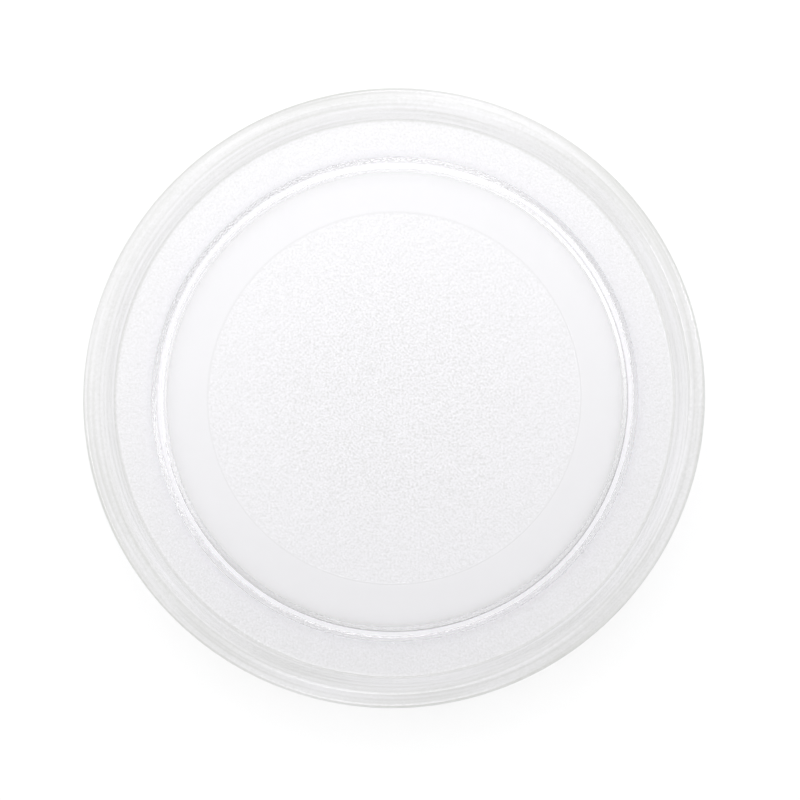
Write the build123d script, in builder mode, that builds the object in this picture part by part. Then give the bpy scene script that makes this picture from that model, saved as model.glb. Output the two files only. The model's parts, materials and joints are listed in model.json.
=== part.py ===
from build123d import *
import os

# Microwave turntable plate, flat kind: one piece of clear pressed glass that lies on a ring of rollers.
# Millimetres. Z is the axis the plate turns on, +Z is up, and Z = 0 is the plane the foot rib stands on.
# Sections are drawn in the XZ plane, as (radius, height), and turned about Z.

# Driving dimensions: heights
floor_thickness = 5.0
dish_depth = 6.5
lip_thickness = 4.0
rib_height = 2.5
track_depth = 0.25

# Driving dimensions: the rings, from the roller track outwards
track_diameter = 181.0
track_width = 16.5
rib_width = 6.0
rib_crest_width = 1.6
outer_floor_width = 14.5
wall_run = 5.2
wall_spread = 3.9
lip_width = 6.3

# Driving dimensions: edges and roundings left by the mould
floor_rounding = 1.0
heel_rounding = 2.5
mouth_rounding = 3.0
lip_root_rounding = 1.0
lip_edge_reach = 1.4
rib_crest_chamfer = 0.4

# Heights
underside = rib_height
track_level = underside + track_depth
floor_middle = underside + floor_thickness / 2
floor_top = underside + floor_thickness
lip_top = floor_top + dish_depth
lip_middle = lip_top - lip_thickness / 2
lip_bottom = lip_top - lip_thickness

# Radii
track_outer_radius = track_diameter / 2
track_inner_radius = track_outer_radius - track_width
rib_outer_radius = track_outer_radius + rib_width
rib_flank_run = (rib_width - rib_crest_width) / 2
crest_inner_radius = track_outer_radius + rib_flank_run
crest_outer_radius = rib_outer_radius - rib_flank_run
floor_radius = rib_outer_radius + outer_floor_width
mouth_radius = floor_radius + wall_run
plate_radius = mouth_radius + lip_width
lip_edge_radius = plate_radius - lip_edge_reach

# The underside of the wall runs parallel to its top, moved outwards by the wall's spread
wall_run_per_rise = wall_run / dish_depth
heel_radius = floor_radius + wall_spread - floor_thickness * wall_run_per_rise
lip_root_radius = mouth_radius + wall_spread - lip_thickness * wall_run_per_rise

os.makedirs("parts", exist_ok=True)

with BuildPart() as turntable_plate:
    # Dish: flat floor, sloping wall and flat lip in one section; the lip's edge is fire-polished round
    with BuildSketch(Plane.XZ):
        with BuildLine():
            dish_underside = FilletPolyline(
                (0, underside),
                (heel_radius, underside),
                (lip_root_radius, lip_bottom),
                (lip_edge_radius, lip_bottom),
                radius=[heel_rounding, lip_root_rounding],
            )
            EllipticalCenterArc(
                (lip_edge_radius, lip_middle),
                lip_edge_reach,
                lip_thickness / 2,
                start_angle=-90,
                arc_size=180,
            )
            dish_top = FilletPolyline(
                (lip_edge_radius, lip_top),
                (mouth_radius, lip_top),
                (floor_radius, floor_top),
                (0, floor_top),
                radius=[mouth_rounding, floor_rounding],
            )
            Line(dish_top @ 1, dish_underside @ 0)
        make_face()
    revolve(axis=Axis.Z)

    # Roller track: a shallow groove with a sloping inner edge, cut as far as the place of the rib's crest
    with BuildSketch(Plane.XZ):
        with BuildLine():
            Polyline(
                (track_inner_radius, underside),
                (track_inner_radius + track_depth, track_level),
                (crest_inner_radius, track_level),
                (crest_inner_radius, underside),
                close=True,
            )
        make_face()
    revolve(axis=Axis.Z, mode=Mode.SUBTRACT)

    # Foot rib: its inner flank guides the rollers, and the plate stands on its crest
    with BuildSketch(Plane.XZ):
        with BuildLine():
            # The section reaches up into the middle of the floor, so that the rib grows out of it
            Polyline(
                (track_outer_radius, track_level),
                (crest_inner_radius, 0),
                (crest_outer_radius, 0),
                (rib_outer_radius, underside),
                (rib_outer_radius, floor_middle),
                (track_outer_radius, floor_middle),
                close=True,
            )
        make_face()
    revolve(axis=Axis.Z)

    # Both edges of the crest are eased
    crest_edges = turntable_plate.edges().filter_by(GeomType.CIRCLE).group_by(Axis.Z)[0]
    chamfer(crest_edges, rib_crest_chamfer)

turntable_plate.part.label = "turntable_plate"
export_step(turntable_plate.part, "parts/turntable_plate.step")
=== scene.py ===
import json
import math

import bpy
from mathutils import Matrix, Vector, noise


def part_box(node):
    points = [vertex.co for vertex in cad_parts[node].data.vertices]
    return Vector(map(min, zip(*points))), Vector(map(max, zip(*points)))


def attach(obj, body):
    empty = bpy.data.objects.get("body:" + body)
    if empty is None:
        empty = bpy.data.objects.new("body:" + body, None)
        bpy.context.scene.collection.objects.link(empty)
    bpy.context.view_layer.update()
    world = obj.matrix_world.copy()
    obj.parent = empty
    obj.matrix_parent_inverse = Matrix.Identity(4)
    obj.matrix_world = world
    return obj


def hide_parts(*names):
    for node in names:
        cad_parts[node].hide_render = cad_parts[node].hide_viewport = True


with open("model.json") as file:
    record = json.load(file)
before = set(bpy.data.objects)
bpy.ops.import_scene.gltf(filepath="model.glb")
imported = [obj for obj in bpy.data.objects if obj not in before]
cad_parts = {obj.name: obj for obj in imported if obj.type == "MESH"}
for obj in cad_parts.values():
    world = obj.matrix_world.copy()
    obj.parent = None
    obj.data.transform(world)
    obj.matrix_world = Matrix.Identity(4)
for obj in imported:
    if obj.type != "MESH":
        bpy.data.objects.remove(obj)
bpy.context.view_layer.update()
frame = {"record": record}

# Main places of the plate in millimetres, from the frame; its section is (radius, height) about the Z axis
MM = 0.001
mount_places = {mount["name"]: mount["pos_m"] for mount in frame["record"]["mounts"]}
node_low, node_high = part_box("turntable_plate")
plate_radius = min(node_high.x, node_high.y, -node_low.x, -node_low.y) / MM
lip_top = node_high.z / MM
floor_top = mount_places["dish_floor"][2] / MM
track_level = mount_places["roller_track"][2] / MM
crest_radius = mount_places["foot_rib"][0] / MM

# Other sizes of the section, in millimetres
underside = 2.5
lip_thickness = 4.0
lip_width = 6.3
lip_edge_reach = 1.4
wall_run = 5.2
wall_spread = 3.9
track_width = 16.5
rib_width = 6.0
rib_crest_width = 1.6

# Roundings of the glass, in millimetres
floor_rounding = 1.0
mouth_rounding = 3.0
heel_rounding = 2.5
lip_root_rounding = 1.0
rib_crest_rounding = 0.7
rib_root_rounding = 0.5

# Pebbles of the stipple: grain and relief in millimetres, reach and middle height as shares of them
stipple_grain = 1.4
stipple_relief = 0.08
pebble_reach = 0.75
pebble_middle = 0.5

# Strength of the stipple in each field of the underside; at 1 it has its full relief
centre_share = 1.27
centre_edge_share = 0.6
flank_share = 1.2
outer_share = 0.55
rim_share = 0.3

# Where the strength of the stipple changes, in millimetres
centre_core_radius = 24.0
centre_fade = 0.8
flank_fade = 0.8
rib_margin = 0.6

# How clear the skin of the glass is, from 0, greyest, to 1, quite clear: the underside has an even grey
# tint, the rib's value is painted light, and the border, root, wall, lip, edge, foot and mouth values are
# painted shade; the pebbles' value paints shade in their hollows
underside_clearness = 0.66
# Painted light on and beside the rib
rib_painted_light = 1.0
# Painted shade: grey lines at the track's border and the rib's root, a greyer wall, lip and lip edge, and
# grey lines at the wall's foot and mouth
border_painted_shade = 0.4
root_painted_shade = 0.0
wall_painted_shade = 0.48
lip_painted_shade = 0.2
edge_painted_shade = 0.0
foot_painted_shade = 0.0
mouth_painted_shade = 0.5
pebble_painted_shade = 0.25

# Where the painted light and shade change, in millimetres
rib_inner_fade = 2.0
rib_outer_fade = 6.0
border_width = 0.5
rim_fade = 2.0
root_inset = 0.25
root_width = 0.6
foot_inset = 0.5
foot_width = 1.0
mouth_width = 1.0

# Share of the lip's edge, at its top, that is clear again, free of the painted shade
clear_edge_share = 0.08

# Spacing of the skin's rings in millimetres; a smooth run has guard rings at its ends, if it is long enough
centre_spacing = 0.64
outer_spacing = 0.8
smooth_spacing = 60.0
guard_distance = 0.3
guards_in_shortest_run = 3
same_place = 1e-6

# Points in a ring, turn from one stippled ring to the next in points, and steps in an arc
smooth_count = 256
fewest_points = 6
ring_turn = 0.618
arc_steps = 6
stippled_arc_steps = 3
edge_steps = 14

# Radii and heights worked out from the sizes above
track_outer_radius = crest_radius - rib_width / 2
track_inner_radius = track_outer_radius - track_width
track_depth = track_level - underside
rib_outer_radius = crest_radius + rib_width / 2
crest_inner_radius = crest_radius - rib_crest_width / 2
crest_outer_radius = crest_radius + rib_crest_width / 2
mouth_radius = plate_radius - lip_width
floor_radius = mouth_radius - wall_run
lip_bottom = lip_top - lip_thickness
lip_edge_radius = plate_radius - lip_edge_reach
wall_run_per_rise = wall_run / (lip_top - floor_top)
heel_radius = floor_radius + wall_spread - (floor_top - underside) * wall_run_per_rise
lip_root_radius = mouth_radius + wall_spread - lip_thickness * wall_run_per_rise


def rounded_corner(before, corner, after, rounding, steps):
    """Points of the arc that rounds a corner of the section, from tangent point to tangent point."""
    start_way = (before - corner).normalized()
    end_way = (after - corner).normalized()
    half_angle = start_way.angle(end_way) / 2
    setback = rounding / math.tan(half_angle)
    bisector = (start_way + end_way).normalized()
    centre = corner + bisector * (rounding / math.sin(half_angle))
    first = corner + start_way * setback - centre
    last = corner + end_way * setback - centre
    turn = -first.angle_signed(last)
    return [
        centre + Matrix.Rotation(turn * step / steps, 2) @ first
        for step in range(steps + 1)
    ]


def straight_run(start, end, spacing):
    """Points inside a straight run, at most spacing apart, with a guard near each end of a smooth one."""
    guard = guard_distance if spacing == smooth_spacing else spacing
    length = (end - start).length
    if length < guards_in_shortest_run * guard:
        return []
    way = (end - start) / length
    usable = length - 2 * guard
    steps = max(1, math.ceil(usable / spacing))
    return [start + way * (guard + usable * step / steps) for step in range(steps + 1)]


def section_run(corners, spacing, steps):
    """Points along corners given as (radius, height, rounding), straight between the roundings."""
    places = [Vector(corner[:2]) for corner in corners]
    points = [places[0]]
    for index in range(1, len(places)):
        arc = [places[index]]
        rounding = corners[index][2]
        if rounding > 0:
            arc = rounded_corner(places[index - 1], places[index], places[index + 1], rounding, steps)
        points += straight_run(points[-1], arc[0], spacing)
        points += arc
    return points


def centre_field_run():
    """Stippled field in the middle of the underside."""
    return section_run(
        [
            (0, underside, 0),
            (track_inner_radius, underside, 0),
        ],
        centre_spacing,
        stippled_arc_steps,
    )


def rib_run():
    """Smooth roller track and foot rib; a point on the track marks where the painted light by the rib starts
    to change.
    """
    return section_run(
        [
            (track_inner_radius, underside, 0),
            (track_inner_radius + track_depth, track_level, 0),
            (track_outer_radius - rib_inner_fade, track_level, 0),
            (track_outer_radius, track_level, rib_root_rounding),
            (crest_inner_radius, 0, rib_crest_rounding),
            (crest_outer_radius, 0, rib_crest_rounding),
            (rib_outer_radius, underside, rib_root_rounding),
            (rib_outer_radius + rib_margin, underside, 0),
        ],
        smooth_spacing,
        arc_steps,
    )


def outer_field_run():
    """Stippled ring outside the rib: the outer floor and the back of the rim."""
    return section_run(
        [
            (rib_outer_radius + rib_margin, underside, 0),
            (heel_radius, underside, heel_rounding),
            (lip_root_radius, lip_bottom, lip_root_rounding),
            (lip_edge_radius, lip_bottom, 0),
        ],
        outer_spacing,
        stippled_arc_steps,
    )


def lip_edge_run():
    """Fire-polished edge of the lip: half an ellipse, from the bottom up."""
    half_thickness = lip_thickness / 2
    points = []
    for step in range(edge_steps + 1):
        angle = math.pi * step / edge_steps - math.pi / 2
        radius = lip_edge_radius + lip_edge_reach * math.cos(angle)
        points.append(Vector((radius, lip_top - half_thickness + half_thickness * math.sin(angle))))
    return points


def dish_run():
    """Smooth top: lip, wall and floor, in to the axis; one point ends the painted grey line of shade at the
    wall's foot.
    """
    return section_run(
        [
            (lip_edge_radius, lip_top, 0),
            (mouth_radius, lip_top, mouth_rounding),
            (floor_radius, floor_top, floor_rounding),
            (floor_radius - foot_inset - foot_width, floor_top, 0),
            (0, floor_top, 0),
        ],
        smooth_spacing,
        arc_steps,
    )


def soft_step(value):
    """0 below 0, 1 above 1 and smooth between."""
    clipped = max(0.0, min(1.0, value))
    return clipped * clipped * (3 - 2 * clipped)


def underside_stippling(point):
    """How strong the stipple is at a point of the section: most in the middle, none from track to crest."""
    if point.x < track_inner_radius:
        thinning = soft_step((point.x - centre_core_radius) / (track_inner_radius - centre_core_radius))
        share = centre_share + (centre_edge_share - centre_share) * thinning
        return share * soft_step((track_inner_radius - point.x) / centre_fade)
    off_flank = soft_step((point.x - rib_outer_radius) / flank_fade)
    on_rim = soft_step((point.x - heel_radius) / rim_fade)
    share = flank_share + (outer_share - flank_share) * off_flank
    share += (rim_share - outer_share) * on_rim
    return share * soft_step((point.x - crest_radius) / flank_fade)


def no_stippling(point):
    """The lip's edge and the top are smooth."""
    return 0.0


def underside_tint_and_painted_light(point):
    """How clear the underside is at a point of the section: clearest at the rib from painted light, greyer
    on wall and lip from painted shade, with painted shade lines at the track's border and the rib's root;
    elsewhere an even grey tint.
    """
    inside_rib = soft_step((track_outer_radius - point.x) / rib_inner_fade)
    outside_rib = soft_step((point.x - rib_outer_radius) / rib_outer_fade)
    at_border = 1 - soft_step(abs(point.x - track_inner_radius) / border_width)
    at_root = 1 - soft_step(abs(point.x - track_outer_radius + root_inset) / root_width)
    on_wall = soft_step((point.x - heel_radius) / rim_fade)
    on_lip = soft_step((point.x - lip_root_radius) / rim_fade)
    clearness_and_painted_light = rib_painted_light + (underside_clearness - rib_painted_light) * (inside_rib + outside_rib)
    clearness_and_painted_light += (border_painted_shade - underside_clearness) * at_border
    clearness_and_painted_light += (root_painted_shade - rib_painted_light) * at_root
    clearness_and_painted_light += (wall_painted_shade - underside_clearness) * on_wall
    return clearness_and_painted_light + (lip_painted_shade - wall_painted_shade) * on_lip


def painted_edge_shade(point):
    """How clear the lip's edge is at a point of the section: grey with painted shade, and clear only at the
    top.
    """
    share_above = (lip_top - point.y) / lip_thickness
    return edge_painted_shade + (1 - edge_painted_shade) * soft_step(1 - share_above / clear_edge_share)


def painted_top_shade(point):
    """How clear the top is at a point of the section: only the wall's foot and mouth are greyer, with
    painted lines of shade.
    """
    at_foot = 1 - soft_step(abs(point.x - floor_radius + foot_inset) / foot_width)
    at_mouth = 1 - soft_step(abs(point.x - mouth_radius) / mouth_width)
    return 1 - (1 - foot_painted_shade) * at_foot - (1 - mouth_painted_shade) * at_mouth


def plate_rings():
    """Rings of the skin, from the axis under the floor, round the lip and back to the axis on top."""
    runs = [
        (centre_field_run(), centre_spacing, underside_stippling, underside_tint_and_painted_light),
        (rib_run(), smooth_spacing, underside_stippling, underside_tint_and_painted_light),
        (outer_field_run(), outer_spacing, underside_stippling, underside_tint_and_painted_light),
        (lip_edge_run(), smooth_spacing, no_stippling, painted_edge_shade),
        (dish_run(), smooth_spacing, no_stippling, painted_top_shade),
    ]
    rings = []
    for points, spacing, stippling, clearness_and_painting in runs:
        pebbled = spacing != smooth_spacing
        for index, point in enumerate(points):
            if rings and (point - rings[-1]["place"]).length < same_place:
                continue
            before = points[max(index - 1, 0)]
            after = points[min(index + 1, len(points) - 1)]
            way = (after - before).normalized()
            count = smooth_count
            if pebbled:
                count = max(fewest_points, round(2 * math.pi * point.x / spacing))
            rings.append(
                {
                    "place": point,
                    "outward": Vector((way.y, -way.x)),
                    "count": 1 if point.x < same_place else count,
                    "phase": (len(rings) * ring_turn) % 1 if pebbled else 0.0,
                    "stipple": stippling(point),
                    "pebbled": pebbled,
                    "clearness_and_painted_light": clearness_and_painting(point),
                }
            )
    return rings


def pebble_height(place):
    """Height of the pebbled relief at a place on the skin, from 0 between the pebbles to 1 on top of one."""
    distances, _ = noise.voronoi(place / stipple_grain)
    return 1 - min(1.0, distances[0] / pebble_reach) ** 2


def turned(section_place, angle):
    """A (radius, height) of the section, turned about the Z axis to an angle."""
    radius, height = section_place
    return Vector((radius * math.cos(angle), radius * math.sin(angle), height))


def ring_points(ring):
    """The points of one ring, in millimetres, with the stipple pressed into it, and how clear each is, with
    painted shade in the pebbles' hollows and painted light on their tops.
    """
    points, clearness_and_painted_light = [], []
    for index in range(ring["count"]):
        angle = 2 * math.pi * (index + ring["phase"]) / ring["count"]
        spot = turned(ring["place"], angle)
        rise = 0.0
        if ring["pebbled"]:
            rise = (pebble_height(spot) - pebble_middle) * ring["stipple"]
            spot += turned(ring["outward"], angle) * (rise * stipple_relief)
        points.append(spot)
        # Painted shade in the pebbles' hollows and painted light on their tops
        clearness_and_painted_light.append(ring["clearness_and_painted_light"] + rise * pebble_painted_shade)
    return points, clearness_and_painted_light


def stitched(first, first_start, second, second_start):
    """Faces that join two neighbouring rings, whose points may differ in number."""
    count, next_count = first["count"], second["count"]
    if count == next_count and first["phase"] == second["phase"]:
        return [
            (
                first_start + index,
                first_start + (index + 1) % count,
                second_start + (index + 1) % count,
                second_start + index,
            )
            for index in range(count)
        ]
    faces = []
    index = next_index = 0
    steps = count if count > 1 else 0
    next_steps = next_count if next_count > 1 else 0
    while index < steps or next_index < next_steps:
        angle = (index + 1 + first["phase"]) / count if index < steps else math.inf
        next_angle = (next_index + 1 + second["phase"]) / next_count if next_index < next_steps else math.inf
        here = first_start + index % count
        there = second_start + next_index % next_count
        if angle <= next_angle:
            index += 1
            faces.append((here, first_start + index % count, there))
        else:
            next_index += 1
            faces.append((here, second_start + next_index % next_count, there))
    return faces


def plate_object():
    """The glass plate as one closed skin; its attributes say how stippled and how clear the skin is, with
    painted light and shade in its clearness.
    """
    rings = plate_rings()
    points, faces, stipple, clearness_and_painted_light = [], [], [], []
    starts = []
    for ring in rings:
        starts.append(len(points))
        spots, shades = ring_points(ring)
        points += [spot * MM for spot in spots]
        clearness_and_painted_light += shades
        stipple += [ring["stipple"]] * ring["count"]
    for index in range(len(rings) - 1):
        faces += stitched(rings[index], starts[index], rings[index + 1], starts[index + 1])
    mesh = bpy.data.meshes.new("glass_plate")
    mesh.from_pydata(points, [], faces)
    mesh.polygons.foreach_set("use_smooth", [True] * len(faces))
    mesh.attributes.new("stipple", "FLOAT", "POINT").data.foreach_set("value", stipple)
    mesh.attributes.new("clearness_and_painted_light", "FLOAT", "POINT").data.foreach_set("value", clearness_and_painted_light)
    mesh.update()
    plate = bpy.data.objects.new("glass_plate", mesh)
    bpy.context.scene.collection.objects.link(plate)
    return plate


def new_node(tree, kind, inputs, **settings):
    """A new shader node; an input given as another node's output is linked, and any other is set."""
    node = tree.nodes.new(kind)
    for name, value in settings.items():
        setattr(node, name, value)
    for name, value in inputs.items():
        if isinstance(value, bpy.types.NodeSocket):
            tree.links.new(value, node.inputs[name])
        else:
            node.inputs[name].default_value = value
    return node


def product_of(tree, value, factor):
    """Two values multiplied."""
    return new_node(tree, "ShaderNodeMath", {0: value, 1: factor}, operation="MULTIPLY").outputs["Value"]


def sum_of(tree, value, factor, added):
    """A value times a factor, plus another value."""
    terms = {0: value, 1: factor, 2: added}
    return new_node(tree, "ShaderNodeMath", terms, operation="MULTIPLY_ADD").outputs["Value"]


def along(tree, place, way):
    """How far a place lies along a way."""
    pair = {0: place, 1: way}
    return new_node(tree, "ShaderNodeVectorMath", pair, operation="DOT_PRODUCT").outputs["Value"]


def eased(tree, value, limits, low, high):
    """Changes smoothly from low to high, while a value goes from its first limit to its second."""
    ends = {"Value": value, "From Min": limits[0], "From Max": limits[1], "To Min": low, "To Max": high}
    return new_node(tree, "ShaderNodeMapRange", ends, interpolation_type="SMOOTHSTEP").outputs["Result"]


def noise_of(tree, place, size):
    """Soft noise from 0 to 1, with clouds of a size in millimetres."""
    clouds = {"Vector": place, "Scale": 1 / (size * MM), "Detail": 0.0}
    return new_node(tree, "ShaderNodeTexNoise", clouds).outputs["Fac"]


# Finish of the glass: sizes and heights in millimetres, and how much painted light and shade the marks and
# grain add to its clearness
wave_size = 30.0
wave_height = 0.04
streak_width = 1.0
streak_length = 60.0
streak_height = 0.01
streak_painted_shade = 1.5
grain_size = 0.8
grain_height = 0.02
grain_painted_shade = 2.2
noise_middle = 0.5

# Colour and roughness of the skin; its greyest colour is both the glass's grey tint and its painted shade
greyest_tint_and_painted_shade = (0.752, 0.755, 0.735)
clear_skin = (0.986, 0.982, 0.998)
polished_roughness = 0.0
stippled_roughness = 0.2

# Body of the glass: how strongly it bends light, and the light that it takes away per metre
glass_index = 1.5
glass_loss = 5.0
glass_tint = (0.20, 0.21, 0.25)


def turning_marks(tree, place):
    """Fine marks that the turned mould leaves round the rim, also used to paint lines of light and shade
    into the glass's colour: values about 0, and 0 inside the heel.
    """
    flat_place = new_node(tree, "ShaderNodeVectorMath", {0: place, 1: (1, 1, 0)}, operation="MULTIPLY")
    flat_place = flat_place.outputs["Vector"]
    radius = new_node(tree, "ShaderNodeVectorMath", {0: flat_place}, operation="LENGTH").outputs["Value"]
    stretch = {0: flat_place, "Scale": streak_width / streak_length}
    drawn_out = new_node(tree, "ShaderNodeVectorMath", stretch, operation="SCALE").outputs["Vector"]
    drawn_ways = new_node(tree, "ShaderNodeSeparateXYZ", {"Vector": drawn_out}).outputs
    streak_ways = {"X": radius, "Y": drawn_ways["X"], "Z": drawn_ways["Y"]}
    streak_place = new_node(tree, "ShaderNodeCombineXYZ", streak_ways).outputs["Vector"]
    streaks = sum_of(tree, noise_of(tree, streak_place, streak_width), 1.0, -noise_middle)
    on_rim = eased(tree, radius, (heel_radius * MM, (heel_radius + rim_fade) * MM), 0.0, 1.0)
    return product_of(tree, streaks, on_rim)


def pressed_glass():
    """Clear pressed glass: fire-polished, with marks round the rim and a rough grain on the stipple, which
    also paint light and shade into its colour.
    """
    material = bpy.data.materials.new("pressed_glass")
    material.use_nodes = True
    tree = material.node_tree
    tree.nodes.clear()
    place = new_node(tree, "ShaderNodeTexCoord", {}).outputs["Object"]
    stipple = new_node(tree, "ShaderNodeAttribute", {}, attribute_name="stipple").outputs["Fac"]
    clearness_and_painted_light = new_node(tree, "ShaderNodeAttribute", {}, attribute_name="clearness_and_painted_light").outputs["Fac"]

    streaks = turning_marks(tree, place)
    grain = sum_of(tree, noise_of(tree, place, grain_size), 1.0, -noise_middle)
    grain = product_of(tree, grain, stipple)

    waves = sum_of(tree, noise_of(tree, place, wave_size), wave_height * MM, 0.0)
    marked_waves = sum_of(tree, streaks, streak_height * MM, waves)
    relief = sum_of(tree, grain, grain_height * MM, marked_waves)
    bump = new_node(tree, "ShaderNodeBump", {"Height": relief, "Distance": 1.0})

    # Painted light and shade: the rim's marks and the stipple's grain make the glass's colour lighter and
    # darker
    streak_painted_clearness = sum_of(tree, streaks, streak_painted_shade, clearness_and_painted_light)
    grain_painted_clearness = sum_of(tree, grain, grain_painted_shade, streak_painted_clearness)
    skin_range = {"Factor": grain_painted_clearness, "A": (*greyest_tint_and_painted_shade, 1), "B": (*clear_skin, 1)}
    skin = new_node(tree, "ShaderNodeMix", skin_range, data_type="RGBA")
    frosting_range = {"Value": stipple, "To Min": polished_roughness, "To Max": stippled_roughness}
    frosting = new_node(tree, "ShaderNodeMapRange", frosting_range)

    finish = {
        "Base Color": skin.outputs["Result"],
        "Metallic": 0.0,
        "Roughness": frosting.outputs["Result"],
        "IOR": glass_index,
        "Transmission Weight": 1.0,
        "Normal": bump.outputs["Normal"],
    }
    glass = new_node(tree, "ShaderNodeBsdfPrincipled", finish)
    loss = {"Color": (*glass_tint, 1), "Density": glass_loss}
    body = new_node(tree, "ShaderNodeVolumeAbsorption", loss)
    ends = {"Surface": glass.outputs["BSDF"], "Volume": body.outputs["Volume"]}
    new_node(tree, "ShaderNodeOutputMaterial", ends)
    return material


# Way to the far side of the studio, in plan
studio_turn = math.radians(8)
far_way = (-math.sin(studio_turn), math.cos(studio_turn), 0)

# Studio floor, in metres: half its side, the air left under the foot rib, and where its painted light
# fall-off changes
floor_half = 20.0
floor_gap = 0.0001
painted_falloff_span = (-0.16, 0.16)

# Paleness of the floor, near the viewer and far off: a painted light fall-off, darker near the viewer
floor_near_painted_falloff = 0.83
floor_far_painted_falloff = 0.97


def studio_white():
    """Matt white of the floor, with a painted light fall-off that makes it a little darker near the viewer.
    """
    material = bpy.data.materials.new("studio_white")
    material.use_nodes = True
    tree = material.node_tree
    place = new_node(tree, "ShaderNodeTexCoord", {}).outputs["Object"]
    # Painted light fall-off: the floor's colour is darker near the viewer and paler far off
    painted_falloff_paleness = eased(tree, along(tree, place, far_way), painted_falloff_span, floor_near_painted_falloff, floor_far_painted_falloff)
    paint = tree.nodes["Principled BSDF"]
    tree.links.new(painted_falloff_paleness, paint.inputs["Base Color"])
    paint.inputs["Roughness"].default_value = 1.0
    paint.inputs["Specular IOR Level"].default_value = 0.0
    return material


def floor_object():
    """Pale studio floor, just under the foot rib."""
    mesh = bpy.data.meshes.new("studio_floor")
    corner_ways = [(-1, -1), (1, -1), (1, 1), (-1, 1)]
    corners = [(x * floor_half, y * floor_half, 0) for x, y in corner_ways]
    mesh.from_pydata(corners, [], [(0, 1, 2, 3)])
    mesh.materials.append(studio_white())
    floor = bpy.data.objects.new("studio_floor", mesh)
    floor.location.z = -floor_gap
    bpy.context.scene.collection.objects.link(floor)


# Studio light: an even dome for the floor; the glass mirrors a darker one with a softbox and two small lamps
dome_colour = (0.995, 0.995, 0.995)
even_light = 1.25
dome_turn = (-0.5, 0.5)
dome_near_low = 0.72
dome_far_low = 1.25
dome_near_middle = 0.6
dome_far_middle = 0.7
dome_near_high = 0.4
softbox = 1.3
softbox_edge = (0.03, 0.21)
softbox_rise = (0.75, 0.9)
horizon_rise = (0.15, 0.4)
side_lamp = 5.0
side_lamp_edge = (0.9925, 0.9976)
side_lamp_ways = ((-0.05, 0.37, 0.927), (-0.37, 0.03, 0.927))


def studio_world():
    """The dome: the shaped sky that the glass mirrors, and the even light that reaches the floor."""
    world = bpy.data.worlds.new("studio_dome")
    world.use_nodes = True
    world.cycles.sampling_method = "NONE"
    tree = world.node_tree
    tree.nodes.clear()
    place = new_node(tree, "ShaderNodeTexCoord", {}).outputs["Generated"]
    height = along(tree, place, (0, 0, 1))
    depth = along(tree, place, far_way)

    low_sky = eased(tree, depth, dome_turn, dome_near_low, dome_far_low)
    middle_sky = eased(tree, depth, dome_turn, dome_near_middle, dome_far_middle)
    high_sky = eased(tree, depth, softbox_edge, dome_near_high, softbox)
    sky = eased(tree, height, horizon_rise, low_sky, middle_sky)
    sky = eased(tree, height, softbox_rise, sky, high_sky)
    for lamp_way in side_lamp_ways:
        closeness = along(tree, place, Vector(lamp_way).normalized())
        sky = eased(tree, closeness, side_lamp_edge, sky, side_lamp)

    floor_bounce = new_node(tree, "ShaderNodeLightPath", {}).outputs["Diffuse Depth"]
    strength = eased(tree, floor_bounce, (0, 1), sky, even_light)
    light = new_node(tree, "ShaderNodeBackground", {"Color": (*dome_colour, 1), "Strength": strength})
    new_node(tree, "ShaderNodeOutputWorld", {"Surface": light.outputs["Background"]})
    bpy.context.scene.world = world


# Camera: nearly overhead, leaning to the picture's lower right; distances in metres, film in millimetres
camera_distance = 1.3
camera_lean = math.radians(7)
camera_side = math.radians(33)
film_width = 36.0
view_reach = 100.0

# The lip's circle in the picture, and half the picture's side, in pixels
plate_pixel_radius = 312.2
plate_pixel = (391.8, 394.6)
picture_half = 400


def studio_camera():
    """Camera that puts the lip's circle at its place in the picture."""
    data = bpy.data.cameras.new("camera")
    camera = bpy.data.objects.new("camera", data)
    bpy.context.scene.collection.objects.link(camera)
    pixel = plate_radius * MM / plate_pixel_radius
    middle = Vector((0, 0, lip_top * MM))
    lean = math.sin(camera_lean)
    back = Vector((lean * math.sin(camera_side), -lean * math.cos(camera_side), math.cos(camera_lean)))
    aside = (picture_half - plate_pixel[0]) * pixel
    ahead = (plate_pixel[1] - picture_half) * pixel
    aim = middle + Vector((aside, ahead, 0))
    camera.location = aim + back * camera_distance
    right = Vector((0, 1, 0)).cross(back).normalized()
    up = back.cross(right)
    camera.rotation_euler = Matrix((right, up, back)).transposed().to_euler()
    data.sensor_width = film_width
    data.lens = film_width / 2 * camera_distance / (picture_half * pixel)
    data.clip_end = view_reach
    bpy.context.scene.camera = camera


plate = plate_object()
plate.data.materials.append(pressed_glass())
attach(plate, "root")
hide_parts("turntable_plate")
floor_object()
studio_world()
studio_camera()

# Times that light may bounce, in all, in the glass, in mirror images and on the floor
all_bounces = 48
glass_bounces = 48
mirror_bounces = 32
floor_bounces = 4

scene = bpy.context.scene
scene.view_settings.view_transform = "Standard"
scene.cycles.max_bounces = all_bounces
scene.cycles.transmission_bounces = glass_bounces
scene.cycles.glossy_bounces = mirror_bounces
scene.cycles.diffuse_bounces = floor_bounces
scene.cycles.blur_glossy = 0.0
